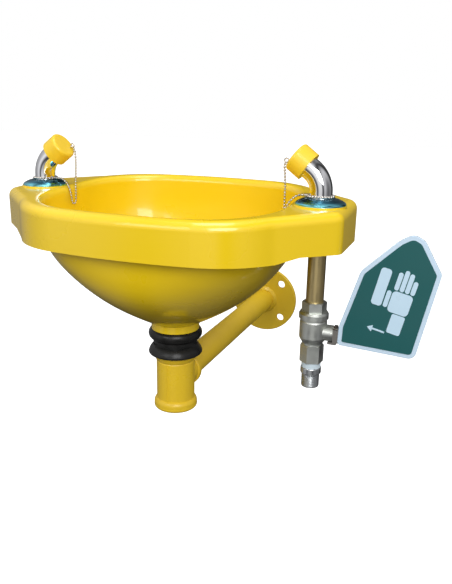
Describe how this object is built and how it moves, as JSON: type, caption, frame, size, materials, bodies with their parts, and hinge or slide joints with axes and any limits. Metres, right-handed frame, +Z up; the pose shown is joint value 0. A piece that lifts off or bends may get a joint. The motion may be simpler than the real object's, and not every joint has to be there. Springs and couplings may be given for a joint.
{
  "type": "wall-mounted emergency eyewash basin",
  "caption": "Yellow wall-mounted eye and face wash basin with capped spray nozzles, chained dust caps, drain tee, wall arm and a ball valve opened by a green push plate",
  "frame": {"origin": "centre of the wall flange's back face, on the wall", "axes": "+Y into the wall, +X to the right when facing the wall, +Z up"},
  "size_m": [0.5477, 0.542, 0.3737],
  "materials": {
    "basin_yellow": "gloss",
    "cap_yellow": "satin",
    "pipe_yellow": "satin powder coat",
    "black_plastic": "satin",
    "rubber": "matt",
    "chrome": "polished",
    "nickel": "satin nickel plate",
    "steel": "brushed",
    "brass": "dull",
    "blue_plastic": "gloss",
    "white_plastic": "matt",
    "plate_white": "gloss enamel",
    "plate_green": "gloss enamel"
  },
  "bodies": {
    "fixed_body": {"basin": "basin_yellow", "waste_tail": "black_plastic", "waste_strainer": "steel", "waste_seal": "rubber", "waste_locknut": "black_plastic", "drain_tee": "pipe_yellow", "support_arm": "pipe_yellow", "wall_flange": "pipe_yellow", "elbow_right": "chrome", "elbow_left": "chrome", "escutcheon_right": "blue_plastic", "escutcheon_left": "blue_plastic", "spray_head_right": "cap_yellow", "spray_head_left": "cap_yellow", "spray_screen_right": "steel", "spray_screen_left": "steel", "chain_collar_right": "chrome", "chain_collar_left": "chrome", "shank_washer_right": "rubber", "shank_washer_left": "rubber", "shank_locknut_right": "brass", "shank_locknut_left": "brass", "riser_tee": "brass", "left_fitting": "brass", "crossover_pipe": "brass", "riser_pipe": "brass", "valve_body": "nickel", "valve_end": "nickel", "valve_seat_upper": "white_plastic", "valve_seat_lower": "white_plastic", "stem_gland": "nickel", "inlet_nipple": "steel", "thread_tape": "white_plastic"},
    "push_handle": {"valve_stem": "steel", "valve_ball": "chrome", "handle_strap": "steel", "handle_nut": "steel", "push_plate": "plate_white", "plate_face": "plate_green", "plate_symbol": "plate_white", "plate_fixings": "steel"},
    "cap_right": {"dust_cap_right": "cap_yellow", "cap_eyelet_right": "chrome", "chain_right": "chrome"},
    "cap_left": {"dust_cap_left": "cap_yellow", "cap_eyelet_left": "chrome", "chain_left": "chrome"}
  },
  "joints": [
    {"name": "push_hinge", "type": "hinge", "parent": "fixed_body", "child": "push_handle", "pos_m": [0.187, -0.4, 0.0947], "axis": [-1, 0, 0], "range_deg": [0, 90]},
    {"name": "cap_right_slide", "type": "slide", "parent": "fixed_body", "child": "cap_right", "axis": [-0.7986, 0, 0.6018], "range_m": [0, 0.025]},
    {"name": "cap_left_slide", "type": "slide", "parent": "fixed_body", "child": "cap_left", "axis": [0.7986, 0, 0.6018], "range_m": [0, 0.025]}
  ]
}
